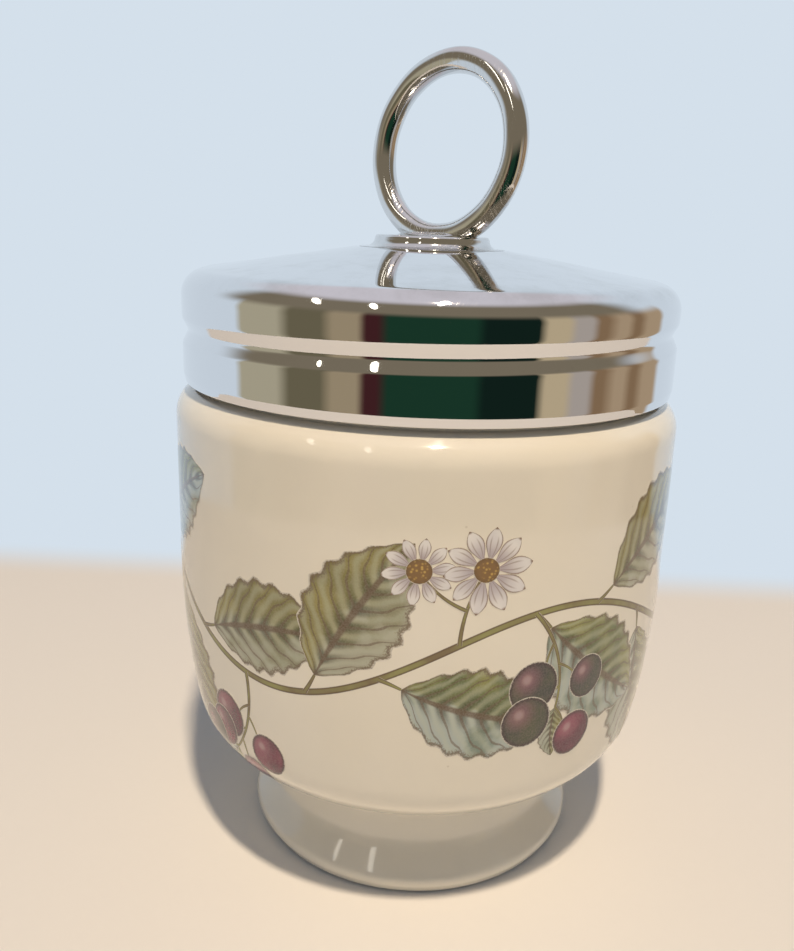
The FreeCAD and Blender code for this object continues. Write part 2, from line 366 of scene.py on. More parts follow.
def shape_boss():
    """Disc turned from its outline: flat top, a coved side that runs out, and the braze on top."""
    flat_top = [(0.15, BOSS_TOP_Z, 0), (BOSS_TOP_RADIUS, BOSS_TOP_Z, 0.42)]
    cove = [(BOSS_TOP_RADIUS + 0.3, SEAT_Z + 0.16, 1.0), (BOSS_BASE_RADIUS, SEAT_Z + 0.05, 0)]
    outline = rounded_outline(flat_top + cove + [(BOSS_BASE_RADIUS, SEAT_Z + 0.02, 0)], 0.12)
    points = spin(outline, 144)[0]
    x = points[..., 0]
    y = points[..., 1]
    on_top = np.clip((BOSS_TOP_RADIUS - 0.2 - np.hypot(x, y)) / 1.0, 0, 1)
    beside_wire = np.maximum(np.abs(y) - RING_WIRE * 0.40, 0) / 0.45
    braze = 0.50 * np.exp(-beside_wire ** 2) * np.exp(-((x - RING_CENTRE_X) / 4.6) ** 4)
    points[..., 2] += braze * on_top ** 2 * (3 - 2 * on_top)
    top = (0, 0, float(points[0, :, 2].mean()))
    return make_piece("ring_disc", points[:, ::-1], wrap_columns=True, pole_first=top,
                      pole_last=(0, 0, SEAT_Z + 0.02))


ring = shape_ring()
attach(ring, "lid")
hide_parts("lifting_ring")
boss = shape_boss()
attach(boss, "lid")
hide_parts("ring_boss")
print("ring of", RING_WIRE, "mm wire, radius", round(RING_RADIUS, 2), "centre x", round(RING_CENTRE_X, 2))

# %% [markdown]
# The print is a transfer: a thin film of ceramic ink, cut as separate motifs, laid on the cup and fired
# into the glaze. Each motif is therefore its own thin curved sheet that lies a few hundredths of a
# millimetre proud of the skin. Motifs are drawn flat, in millimetres across and up, and then wrapped
# round the cup, so the same leaf fits the straight wall and the curve below it.

# %% Wrap flat drawings round the cup
wall_outline = outer_outline[(outer_outline[:, 1] > 9.5) & (outer_outline[:, 1] < 59.0)]
wall_outline = wall_outline[np.argsort(wall_outline[:, 1])]


def on_cup(across, up, lift):
    """Point on the wall: across is arc length from the front, and lift moves out along the wall's normal."""
    radius = np.interp(up, wall_outline[:, 1], wall_outline[:, 0])
    lean = np.interp(up + 0.2, wall_outline[:, 1], wall_outline[:, 0]) - radius
    long_way = np.hypot(lean, 0.2)
    angle = FRONT + across / CUP_RADIUS
    reach = radius + lift * 0.2 / long_way
    return np.stack([reach * np.cos(angle), reach * np.sin(angle), up - lift * lean / long_way], axis=-1)


def join_and_crease(mesh):
    """Welds points that fall together, and marks the film's outer edges sharp so that its face stays flat."""
    work = bmesh.new()
    work.from_mesh(mesh)
    bmesh.ops.remove_doubles(work, verts=work.verts, dist=0.0005 * MM)
    for edge in work.edges:
        edge.smooth = not edge.is_boundary
    work.to_mesh(mesh)
    work.free()


def make_print(name, motifs):
    """One mesh from many flat motifs (across, up, u, v, lift, tone); u and v become its UV map."""
    places, faces, marks, tones, count = [], [], [], [], 0
    for across, up, u, v, lift, tone in motifs:
        rows, columns = across.shape
        places.append(on_cup(across, up, lift).reshape(-1, 3))
        faces.append(grid_faces(rows, columns, False, False)[:, ::-1] + count)
        marks.append(np.stack([u + 0 * across, v + 0 * across], axis=-1).reshape(-1, 2))
        tones.append(np.full(rows * columns, tone))
        count += rows * columns
    mesh = bpy.data.meshes.new(name)
    mesh.from_pydata((np.vstack(places) * MM).tolist(), [], np.vstack(faces).tolist())
    corner = np.zeros(len(mesh.loops), dtype=int)
    mesh.loops.foreach_get("vertex_index", corner)
    mesh.uv_layers.new(name="motif").data.foreach_set("uv", np.vstack(marks)[corner].ravel())
    mesh.attributes.new("tone", "FLOAT", "POINT").data.foreach_set("value", np.concatenate(tones))
    mesh.polygons.foreach_set("use_smooth", np.ones(len(mesh.polygons), dtype=bool))
    join_and_crease(mesh)
    piece = bpy.data.objects.new(name, mesh)
    bpy.context.scene.collection.objects.link(piece)
    film = piece.modifiers.new("film", "SOLIDIFY")
    film.thickness = 0.06 * MM
    film.offset = -1
    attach(piece, "cup")
    return piece


# %% [markdown]
# The design is a plain garden garland: a wavy stem with broad pointed leaves on alternate sides, sprays
# of smooth round berries, and small daisies. It repeats three times round the cup. A leaf is a bent rib
# with a width that swells and closes to a point, and its two numbers u and v run along the rib and
# across the blade, so that veins can follow them later. A disc is a square grid drawn out to a circle,
# which leaves no seam and no hole in its middle. Motifs that overlap have lifts a few thousandths of a
# millimetre apart, so that it is always clear which lies on top.

# %% Draw the garland's motifs
REPEATS = 3
REPEAT_LENGTH = TURN * CUP_RADIUS / REPEATS
STEM_MIDDLE = 36.0
STEM_WAVE = 5.4
HIGHEST_TIP = 54.5
LOWEST_TIP = 15.0
STEM_LIFT = 0.010
STALK_LIFT = 0.012
LEAF_LIFT = 0.014
SPRAY_LEAF_LIFT = 0.030
SPRAY_LIFT = 0.031
HANGER_LIFT = 0.033
TOP_LIFT = 0.036
HEART_LIFT = 0.046
LIFT_STEP = 0.004
draw = np.random.default_rng(7)


def stem_height(across):
    """Height of the main stem: a sine wave that meets itself round the cup."""
    return STEM_MIDDLE + STEM_WAVE * np.sin(TURN * across / REPEAT_LENGTH)


def bent_line(start, heading, length, bend, steps):
    """Points along an arc that starts at a heading and turns by bend radians over its length."""
    along = np.linspace(0, 1, steps)
    bend = bend if abs(bend) > 1e-3 else 1e-3
    across = start[0] + length * (np.sin(heading + bend * along) - math.sin(heading)) / bend
    up = start[1] - length * (np.cos(heading + bend * along) - math.cos(heading)) / bend
    return across, up, heading + bend * along, along


def leaf(start, heading, length, width, bend, lift, tone, steps=40, point=0.85, waves=0.06):
    """Blade: half width times sin(pi u^p), with a faint wave along its edge, set square to a bent rib."""
    across, up, turn, u = bent_line(start, heading, length, bend, steps)
    v = np.linspace(-1, 1, 17)[None, :]
    u = u[:, None]
    swell = np.sin(math.pi * u ** point) ** 0.92 * (1 + waves * np.sin(TURN * 8.5 * u + 2.0 * tone))
    half = width / 2 * swell + 0.03
    sweep = 0.10 * length * (v ** 2) * u * (1 - u)
    side = v * half + 0 * u
    x = across[:, None] - np.sin(turn)[:, None] * side + np.cos(turn)[:, None] * sweep
    y = up[:, None] + np.cos(turn)[:, None] * side + np.sin(turn)[:, None] * sweep
    return x, y, u, v * 0.5 + 0.5, lift, tone


def ribbon(across, up, width, lift, tone, taper=0.45):
    """Stem: a thin band either side of a line, which may taper towards its end."""
    turn = np.arctan2(np.gradient(up), np.gradient(across))[:, None]
    v = np.linspace(-1, 1, 5)[None, :]
    u = np.linspace(0, 1, len(across))[:, None]
    side = v * width / 2 * (1 - taper * u)
    x = across[:, None] - np.sin(turn) * side
    y = up[:, None] + np.cos(turn) * side
    return x, y, u, v * 0.5 + 0.5, lift, tone


def disc(centre, radius, lift, tone, squash=1.0):
    """Round motif: a square grid (a, b) becomes x = a sqrt(1 - b^2 / 2), y = b sqrt(1 - a^2 / 2)."""
    a = np.linspace(-1, 1, 17)[:, None]
    b = np.linspace(-1, 1, 17)[None, :]
    x = a * np.sqrt(1 - b ** 2 / 2)
    y = b * np.sqrt(1 - a ** 2 / 2)
    return centre[0] + radius * x, centre[1] + radius * squash * y, x * 0.5 + 0.5, y * 0.5 + 0.5, lift, tone


# %% Lay out the garland
leaves, petals, stems, berries, hearts = [], [], [], [], []


def add_leaf(root, heading, tone, lift):
    """A short stalk, then a blade as long as the bare wall above or below the stem leaves room for."""
    side = math.copysign(1, math.sin(heading))
    room = HIGHEST_TIP - root[1] if side > 0 else root[1] - LOWEST_TIP
    length = min(draw.uniform(18.0, 21.5), room / abs(math.sin(heading)) - 2.0)
    curl = 0.5 * side * draw.uniform(0.5, 1.0)
    across, up, turn, _ = bent_line(root, heading - curl * 0.4, 2.6, curl * 0.4, 8)
    stems.append(ribbon(across, up, 0.6, STALK_LIFT, tone))
    leaves.append(leaf((across[-1], up[-1]), float(turn[-1]), length, length * 0.60, -curl, lift, tone))


def add_spray(root, heading, count, tone):
    """A bent side stem with smooth berries hung on short stalks along it, and a small leaf at its end."""
    across, up, turn, _ = bent_line(root, heading, 12.5, -0.9 * math.copysign(1, math.cos(heading)), 24)
    stems.append(ribbon(across, up, 0.55, SPRAY_LIFT, tone))
    for k in range(count):
        at = 8 + int(15 * k / max(count - 1, 1))
        side = 1 if k % 2 else -1
        lean = float(turn[at]) + side * 0.95
        stalk = bent_line((across[at], up[at]), lean, 3.0, -side * 0.5, 7)
        stems.append(ribbon(stalk[0], stalk[1], 0.38, HANGER_LIFT, tone))
        size = draw.uniform(2.4, 3.0)
        centre = (stalk[0][-1] + size * 0.8 * math.cos(lean), stalk[1][-1] + size * 0.8 * math.sin(lean))
        berries.append(disc(centre, size, TOP_LIFT + LIFT_STEP * k, draw.uniform(0, 1), 1.06))
    leaves.append(leaf((across[-1], up[-1]), float(turn[-1]), 6.5, 3.4, 0.5, SPRAY_LEAF_LIFT, tone))


def add_daisy(centre, radius, tone):
    """Ten narrow petals round a button heart, with a stalk to the stem drawn by the caller."""
    for k in range(10):
        heading = TURN * (k + 0.3 * tone) / 10
        start = (centre[0] + 0.9 * math.cos(heading), centre[1] + 0.9 * math.sin(heading))
        size = (radius - 0.9) * draw.uniform(0.92, 1.06)
        lift = TOP_LIFT + LIFT_STEP * (k % 2)
        petals.append(leaf(start, heading, size, size * 0.47, 0.12, lift, draw.uniform(0, 1), 14, 1.25, 0.0))
    hearts.append(disc(centre, 1.35, HEART_LIFT, tone))


main_line = np.linspace(-0.5, 0.5, 361) * REPEATS * REPEAT_LENGTH
stems.append(ribbon(main_line, stem_height(main_line), 0.85, STEM_LIFT, 0.5, taper=0.0))
for repeat in range(REPEATS):
    begin = (repeat - 0.62) * REPEAT_LENGTH
    for slot in range(8):
        across = begin + (slot + 0.5) * REPEAT_LENGTH / 8
        side = 1 if slot % 2 else -1
        root = (across, float(stem_height(across)))
        slope = math.atan2(float(stem_height(across + 0.5)) - root[1], 0.5)
        if slot == 2:
            add_spray(root, slope - 1.25, 5, 0.3)
        elif slot == 5:
            stalk = bent_line(root, slope + 1.1, 8.5, -0.5, 12)
            stems.append(ribbon(stalk[0], stalk[1], 0.5, SPRAY_LIFT, 0.4))
            add_daisy((stalk[0][-1], stalk[1][-1]), 4.7, draw.uniform(0, 1))
            spur = bent_line((stalk[0][5], stalk[1][5]), slope + 2.3, 6.5, -0.6, 10)
            stems.append(ribbon(spur[0], spur[1], 0.45, HANGER_LIFT, 0.6))
            add_daisy((spur[0][-1], spur[1][-1]), 3.7, draw.uniform(0, 1))
        else:
            heading = slope + side * draw.uniform(0.78, 1.0)
            add_leaf(root, heading, draw.uniform(0, 1), LEAF_LIFT + LIFT_STEP * (slot // 2))
        if slot == 6:
            add_spray(root, slope - 1.0, 4, 0.7)

print_leaves = make_print("print_leaves", leaves)
print_petals = make_print("print_petals", petals)
print_stems = make_print("print_stems", stems)
print_berries = make_print("print_berries", berries)
print_hearts = make_print("print_hearts", hearts)
print("garland has", len(leaves), "leaves,", len(berries), "berries and", len(hearts), "daisies")

# %% [markdown]
# Every finish is a small network of nodes. These helpers add a node with its settings and values, and
# join it to what feeds it, so that a material reads as a list of steps. Anything that several
# finishes share, such as wear on metal or the unevenness of a glaze, is a node group made once.

# %% Helpers for node networks
def add_node(tree, kind, settings=None, **inputs):
    """Adds a node; settings are its own properties, and inputs are values or sockets by input name."""
    made = tree.nodes.new(kind)
    for key, value in (settings or {}).items():
        setattr(made, key, value)
    for key, value in inputs.items():
        name = key.replace("_", " ")
        socket = made.inputs[int(name[1:])] if name[0] == "i" and name[1:].isdigit() else made.inputs[name]
        if isinstance(value, bpy.types.NodeSocket):
            tree.links.new(value, socket)
        else:
            socket.default_value = value
    return made


def maths(tree, operation, first, second=0.0, third=0.0, clamp=False):
    """One Math node's result."""
    settings = {"operation": operation, "use_clamp": clamp}
    return add_node(tree, "ShaderNodeMath", settings, i0=first, i1=second, i2=third).outputs[0]


def blend_colours(tree, factor, first, second, how="MIX"):
    """One colour Mix node's result."""
    made = tree.nodes.new("ShaderNodeMix")
    made.data_type = "RGBA"
    made.blend_type = how
    for socket, value in ((made.inputs[0], factor), (made.inputs[6], first), (made.inputs[7], second)):
        if isinstance(value, bpy.types.NodeSocket):
            tree.links.new(value, socket)
        else:
            socket.default_value = value
    return made.outputs[2]


def spread(tree, value, low, high, to_low=0.0, to_high=1.0):
    """Smooth step: value from low to high becomes to_low to to_high."""
    settings = {"interpolation_type": "SMOOTHSTEP"}
    made = add_node(tree, "ShaderNodeMapRange", settings, Value=value, From_Min=low, From_Max=high,
                    To_Min=to_low, To_Max=to_high)
    return made.outputs[0]


def noise(tree, place, scale, detail=3.0, roughness=0.5):
    """Noise value at a place; scale is in waves per metre."""
    made = add_node(tree, "ShaderNodeTexNoise", None, Vector=place, Scale=scale, Detail=detail,
                    Roughness=roughness)
    return made.outputs[0]


def stretched(tree, place, turn, scale):
    """The same place, turned and then scaled unevenly, so that noise there draws streaks."""
    return add_node(tree, "ShaderNodeMapping", None, Vector=place, Rotation=turn, Scale=scale).outputs[0]


def new_material(name, **values):
    """A material with one Principled shader, its fixed values set on its own sockets."""
    material = bpy.data.materials.new(name)
    material.use_nodes = True
    tree = material.node_tree
    shader = tree.nodes["Principled BSDF"]
    for key, value in values.items():
        shader.inputs[key.replace("_", " ")].default_value = value
    return material, tree, shader


def new_group(name, inputs, outputs):
    """A node group with named float, vector or colour sockets."""
    tree = bpy.data.node_groups.new(name, "ShaderNodeTree")
    for label, kind, value in inputs:
        socket = tree.interface.new_socket(label, in_out="INPUT", socket_type=kind)
        if value is not None:
            socket.default_value = value
    for label, kind in outputs:
        tree.interface.new_socket(label, in_out="OUTPUT", socket_type=kind)
    return tree, tree.nodes.new("NodeGroupInput"), tree.nodes.new("NodeGroupOutput")


def use_group(tree, group, **inputs):
    """Places a group in a material with its own values."""
    return add_node(tree, "ShaderNodeGroup", {"node_tree": group}, **inputs)


# %% [markdown]
# A fired glaze is glossy but not flat: it pools in long shallow waves, with a few pin holes. The same
# glaze runs over the print, so the group gives the height to every glazed surface, and a slight
# warming of the colour where it pools.

# %% Group for the glaze
def make_glaze_group():
    """Height is broad waves plus fine orange peel; Pool is where the broad waves are low."""
    tree, given, out = new_group("glaze_surface", [("Place", "NodeSocketVector", None)],
                                 [("Height", "NodeSocketFloat"), ("Pool", "NodeSocketFloat")])
    place = given.outputs[0]
    waves = noise(tree, place, 55.0, 2.0)
    peel = noise(tree, place, 620.0, 1.0)
    height = maths(tree, "MULTIPLY_ADD", peel, 0.05, waves)
    tree.links.new(height, out.inputs[0])
    tree.links.new(spread(tree, waves, 0.35, 0.7, 1.0, 0.0), out.inputs[1])
    return tree


glaze_group = make_glaze_group()


def glaze_over(tree, shader, place):
    """Feeds the glaze's height into the shader's normal and returns where it pools."""
    glaze = use_group(tree, glaze_group, Place=place)
    bump = add_node(tree, "ShaderNodeBump", None, Strength=0.25, Distance=0.6 * MM, Height=glaze.outputs[0])
    tree.links.new(bump.outputs[0], shader.inputs["Normal"])
    return glaze.outputs[1]


# %% Porcelain
IVORY = (0.85, 0.81, 0.70, 1)
WARM_IVORY = (0.80, 0.745, 0.60, 1)
BARE_BISCUIT = (0.70, 0.64, 0.54, 1)


def porcelain():
    """Ivory body under a clear coat; the foot's ground land is bare and dull, and pin holes are dark."""
    material, tree, shader = new_material("ivory_porcelain", Roughness=0.08, Coat_Weight=0.4,
                                          Coat_Roughness=0.03, IOR=1.5)
    place = add_node(tree, "ShaderNodeTexCoord").outputs["Object"]
    pool = glaze_over(tree, shader, place)
    colour = blend_colours(tree, maths(tree, "MULTIPLY", pool, 0.35), IVORY, WARM_IVORY)
    height = add_node(tree, "ShaderNodeSeparateXYZ", None, Vector=place).outputs[2]
    bare = spread(tree, height, 0.12 * MM, 0.3 * MM, 1.0, 0.0)
    colour = blend_colours(tree, bare, colour, BARE_BISCUIT)
    pins = add_node(tree, "ShaderNodeTexVoronoi", None, Vector=place, Scale=160.0).outputs["Distance"]
    pin = maths(tree, "MULTIPLY", spread(tree, pins, 0.012, 0.03, 1.0, 0.0), 0.22)
    colour = blend_colours(tree, pin, colour, (0.30, 0.22, 0.12, 1))
    tree.links.new(colour, shader.inputs["Base Color"])
    tree.links.new(maths(tree, "MULTIPLY_ADD", bare, 0.5, 0.08), shader.inputs["Roughness"])
    return material


cup.data.materials.append(porcelain())

# %% [markdown]
# The metal is plated to a mirror, so what shows is mostly the room. What makes it real is what time
# did to it: hairline scratches from being wiped and unscrewed, and a haze of dried water and dust on
# the upward faces. One group gives those as masks, and each metal piece
# uses it with its own strength.

# %% Group for wear on bright metal
def make_wear_group():
    """Scratch is crests of stretched noise in three directions; Haze is clouded noise on top faces."""
    tree, given, out = new_group("metal_wear",
                                 [("Place", "NodeSocketVector", None), ("Up", "NodeSocketFloat", 0.0)],
                                 [("Scratch", "NodeSocketFloat"), ("Haze", "NodeSocketFloat"),
                                  ("Ripple", "NodeSocketFloat")])
    place = given.outputs[0]
    lines = None
    for turn, fine in (((0.3, 0.2, 0.5), 2600.0), ((1.1, 0.7, 2.0), 2100.0), ((0.5, 1.9, 1.3), 3100.0)):
        streak = noise(tree, stretched(tree, place, turn, (fine, fine * 0.02, fine * 0.02)), 1.0, 2.0)
        off_crest = maths(tree, "ABSOLUTE", maths(tree, "SUBTRACT", streak, 0.5))
        crest = spread(tree, off_crest, 0.0, 0.018, 1.0, 0.0)
        patch = spread(tree, noise(tree, stretched(tree, place, turn, (90, 90, 90)), 1.0, 1.0), 0.52, 0.66)
        line = maths(tree, "MULTIPLY", crest, patch)
        lines = line if lines is None else maths(tree, "MAXIMUM", lines, line)
    clouds = spread(tree, noise(tree, place, 170.0, 5.0, 0.65), 0.42, 0.75)
    specks = add_node(tree, "ShaderNodeTexVoronoi", None, Vector=place, Scale=900.0).outputs["Distance"]
    speck = maths(tree, "MULTIPLY", spread(tree, specks, 0.05, 0.16, 1.0, 0.0),
                  spread(tree, noise(tree, place, 120.0, 2.0), 0.5, 0.62))
    haze = maths(tree, "MULTIPLY", maths(tree, "MAXIMUM", clouds, speck), given.outputs[1], clamp=True)
    tree.links.new(lines, out.inputs[0])
    tree.links.new(haze, out.inputs[1])
    tree.links.new(noise(tree, place, 75.0, 2.0), out.inputs[2])
    return tree


wear_group = make_wear_group()


def bright_metal(name, base, scratch, haze, ripple, roughness):
    """Plated metal: base reflectance, dulled by scratches and haze, with a very slight pressed ripple."""
    material, tree, shader = new_material(name, Metallic=1.0)
    place = add_node(tree, "ShaderNodeTexCoord").outputs["Object"]
    facing = add_node(tree, "ShaderNodeNewGeometry").outputs["Normal"]
    up = add_node(tree, "ShaderNodeSeparateXYZ", None, Vector=facing).outputs[2]
    wear = use_group(tree, wear_group, Place=place, Up=spread(tree, up, 0.2, 0.9))
    dusty = maths(tree, "MULTIPLY", wear.outputs[1], haze)
    colour = blend_colours(tree, dusty, base, (0.50, 0.49, 0.47, 1))
    tree.links.new(colour, shader.inputs["Base Color"])
    rough = maths(tree, "MULTIPLY_ADD", wear.outputs[0], scratch, roughness)
    tree.links.new(maths(tree, "MULTIPLY_ADD", dusty, 0.18, rough), shader.inputs["Roughness"])
    height = maths(tree, "MULTIPLY_ADD", wear.outputs[0], -0.012, wear.outputs[2])
    bump = add_node(tree, "ShaderNodeBump", None, Strength=ripple, Distance=0.15 * MM, Height=height)
    tree.links.new(bump.outputs[0], shader.inputs["Normal"])
    return material


lid.data.materials.append(bright_metal("lid_plating", (0.80, 0.80, 0.81, 1), 0.05, 0.4, 0.05, 0.03))
boss.data.materials.append(bright_metal("disc_plating", (0.74, 0.74, 0.74, 1), 0.30, 0.6, 0.5, 0.06))
ring.data.materials.append(bright_metal("ring_plating", (0.74, 0.735, 0.73, 1), 0.35, 0.4, 1.2, 0.07))
inner_steel = bright_metal("turned_steel", (0.56, 0.55, 0.53, 1), 0.25, 0.2, 0.3, 0.28)
for node_name in ("ring_rivet", "backing_washer"):
    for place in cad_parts[node_name].material_slots:
        place.link = "OBJECT"
        place.material = inner_steel

# %% [markdown]
# The inks are flat colour from the printer's plates, laid over each other: a wash, a darker shade, and
# fine brown lines. All of that is worked out from each motif's own u and v. A group gives the fine
# grain of the printed dots. Ink soaks into the glaze in the kiln, so its outline is never quite sharp:
# the last step lets the ivory through at the very edge. Every ink then takes the cup's clear glaze.

# %% Group for printed ink
def make_ink_group():
    """Grain is fine dots of ink, and Wash is a slow change in how thickly the colour was laid."""
    tree, given, out = new_group("printed_ink", [("Place", "NodeSocketVector", None)],
                                 [("Grain", "NodeSocketFloat"), ("Wash", "NodeSocketFloat")])
    place = given.outputs[0]
    tree.links.new(spread(tree, noise(tree, place, 5200.0, 2.0), 0.3, 0.7), out.inputs[0])
    tree.links.new(spread(tree, noise(tree, place, 260.0, 3.0), 0.32, 0.68), out.inputs[1])
    return tree


ink_group = make_ink_group()


def ink_material(name):
    """Starts an ink: its shader, its u and v, its own tone, the print's grain and wash, and the glaze."""
    material, tree, shader = new_material(name, Roughness=0.08, Coat_Weight=0.4, Coat_Roughness=0.03, IOR=1.5)
    place = add_node(tree, "ShaderNodeTexCoord").outputs["Object"]
    glaze_over(tree, shader, place)
    motif = add_node(tree, "ShaderNodeUVMap", {"uv_map": "motif"}).outputs[0]
    parts = add_node(tree, "ShaderNodeSeparateXYZ", None, Vector=motif)
    tone = add_node(tree, "ShaderNodeAttribute", {"attribute_name": "tone"}).outputs["Fac"]
    ink = use_group(tree, ink_group, Place=place)
    return material, tree, shader, parts.outputs[0], parts.outputs[1], tone, ink.outputs[0], ink.outputs[1]


def finish_ink(tree, shader, colour, outward, grain, low=0.955, high=1.01):
    """Lets the ivory through where outward, which is 1 at the motif's edge, comes near it."""
    ragged = maths(tree, "MULTIPLY_ADD", grain, 0.03, outward)
    thin = maths(tree, "MULTIPLY", spread(tree, ragged, low, high), 0.75)
    tree.links.new(blend_colours(tree, thin, colour, IVORY), shader.inputs["Base Color"])


def off_centre(tree, value):
    """Distance of u or v from its middle, 0 on the rib and 1 at the edge."""
    return maths(tree, "ABSOLUTE", maths(tree, "MULTIPLY_ADD", value, 2.0, -1.0))


def far_from(tree, x, y):
    """Length of (x, y): the root of x squared plus y squared."""
    squares = maths(tree, "ADD", maths(tree, "MULTIPLY", x, x), maths(tree, "MULTIPLY", y, y))
    return maths(tree, "SQRT", squares)


def round_place(tree, u, v):
    """A disc's own x and y from -1 to 1, and its distance from the middle."""
    x = maths(tree, "MULTIPLY_ADD", u, 2.0, -1.0)
    y = maths(tree, "MULTIPLY_ADD", v, 2.0, -1.0)
    return x, y, far_from(tree, x, y)


def leaf_ink():
    """Grey sage on one side of the rib and olive on the other, dark side veins, and a brown edge."""
    material, tree, shader, u, v, tone, grain, wash = ink_material("leaf_ink")
    side = maths(tree, "MULTIPLY_ADD", v, 2.0, -1.0)
    off_rib = maths(tree, "ABSOLUTE", side)
    lit = maths(tree, "MULTIPLY_ADD", wash, 0.5, maths(tree, "SUBTRACT", side, 0.25))
    which = spread(tree, lit, -0.25, 0.30)
    sage = blend_colours(tree, spread(tree, wash, 0.2, 0.9), (0.43, 0.50, 0.47, 1), (0.20, 0.27, 0.22, 1))
    olive = blend_colours(tree, wash, (0.27, 0.28, 0.075, 1), (0.10, 0.135, 0.035, 1))
    colour = blend_colours(tree, which, sage, olive)
    autumn = maths(tree, "MULTIPLY", spread(tree, tone, 0.3, 1.0), 0.45)
    colour = blend_colours(tree, autumn, colour, (0.34, 0.25, 0.07, 1))
    bowed = maths(tree, "MULTIPLY_ADD", maths(tree, "POWER", off_rib, 1.3), -0.24, u)
    beat = maths(tree, "PINGPONG", maths(tree, "MULTIPLY", bowed, 8.0), 0.5)
    between = spread(tree, beat, 0.12, 0.46)
    colour = blend_colours(tree, maths(tree, "MULTIPLY", between, 0.34), colour, (0.55, 0.58, 0.44, 1))
    near_rib = spread(tree, off_rib, 0.0, 0.55, 1.0, 0.0)
    shade = maths(tree, "MULTIPLY", near_rib, maths(tree, "SUBTRACT", 1.0, between))
    colour = blend_colours(tree, maths(tree, "MULTIPLY", shade, 0.8), colour, (0.035, 0.05, 0.02, 1))
    fade = maths(tree, "MULTIPLY_ADD", off_rib, -0.035, 0.06)
    vein = spread(tree, maths(tree, "SUBTRACT", beat, fade), 0.0, 0.06, 1.0, 0.0)
    rib = spread(tree, off_rib, 0.035, 0.10, 1.0, 0.0)
    edge = spread(tree, maths(tree, "MULTIPLY_ADD", grain, 0.10, off_rib), 0.88, 1.0)
    tip = maths(tree, "MAXIMUM", spread(tree, u, 0.93, 0.99), spread(tree, u, 0.01, 0.05, 1.0, 0.0))
    inner_lines = maths(tree, "MAXIMUM", maths(tree, "MULTIPLY", vein, 0.75), rib)
    lines = maths(tree, "MAXIMUM", inner_lines, maths(tree, "MAXIMUM", edge, tip))
    colour = blend_colours(tree, maths(tree, "MULTIPLY", lines, 0.85), colour, (0.115, 0.065, 0.035, 1))
    colour = blend_colours(tree, maths(tree, "MULTIPLY", grain, 0.14), colour, (0.58, 0.54, 0.40, 1))
    finish_ink(tree, shader, colour, off_rib, grain)
    return material


def stem_ink():
    """Olive with a light middle and brown edges."""
    material, tree, shader, _, v, _, grain, wash = ink_material("stem_ink")
    off_middle = off_centre(tree, v)
    colour = blend_colours(tree, wash, (0.30, 0.30, 0.10, 1), (0.20, 0.15, 0.07, 1))
    colour = blend_colours(tree, spread(tree, off_middle, 0.35, 0.8), colour, (0.12, 0.075, 0.04, 1))
    finish_ink(tree, shader, colour, off_middle, grain, 0.85, 1.0)
    return material


def petal_ink():
    """White petals with a lilac-grey shade at the root, two fine lines along them, and a brown edge."""
    material, tree, shader, u, v, _, grain, wash = ink_material("petal_ink")
    off_middle = off_centre(tree, v)
    colour = blend_colours(tree, spread(tree, u, 0.1, 0.8), (0.42, 0.36, 0.38, 1), (0.84, 0.82, 0.78, 1))
    colour = blend_colours(tree, maths(tree, "MULTIPLY", wash, 0.4), colour, (0.55, 0.53, 0.58, 1))
    off_line = maths(tree, "ABSOLUTE", maths(tree, "SUBTRACT", off_middle, 0.4))
    line = spread(tree, off_line, 0.04, 0.12, 1.0, 0.0)
    line = maths(tree, "MULTIPLY", line, spread(tree, u, 0.55, 0.8, 0.5, 0.0))
    edge = maths(tree, "MAXIMUM", spread(tree, off_middle, 0.76, 0.97), spread(tree, u, 0.9, 0.98))
    colour = blend_colours(tree, maths(tree, "MAXIMUM", line, edge), colour, (0.22, 0.14, 0.09, 1))
    finish_ink(tree, shader, colour, off_middle, grain)
    return material


def berry_ink():
    """Smooth berry: plum or blackish green by its tone, dark round the edge, with a soft light spot."""
    material, tree, shader, u, v, tone, grain, wash = ink_material("berry_ink")
    x, y, from_middle = round_place(tree, u, v)
    ripe = blend_colours(tree, wash, (0.22, 0.022, 0.065, 1), (0.10, 0.012, 0.040, 1))
    dark = blend_colours(tree, wash, (0.040, 0.050, 0.045, 1), (0.075, 0.085, 0.045, 1))
    colour = blend_colours(tree, spread(tree, tone, 0.60, 0.66), ripe, dark)
    across = maths(tree, "ADD", x, 0.32)
    above = maths(tree, "SUBTRACT", y, 0.34)
    away = far_from(tree, across, above)
    glow = maths(tree, "MULTIPLY", spread(tree, away, 0.05, 0.85, 1.0, 0.0), 0.42)
    colour = blend_colours(tree, glow, colour, (0.46, 0.17, 0.24, 1))
    colour = blend_colours(tree, spread(tree, away, 0.06, 0.30, 0.38, 0.0), colour, (0.66, 0.52, 0.50, 1))
    rim = spread(tree, from_middle, 0.76, 0.97, 0.0, 0.85)
    colour = blend_colours(tree, rim, colour, (0.035, 0.018, 0.022, 1))
    colour = blend_colours(tree, maths(tree, "MULTIPLY", grain, 0.14), colour, (0.45, 0.32, 0.31, 1))
    finish_ink(tree, shader, colour, from_middle, grain)
    return material


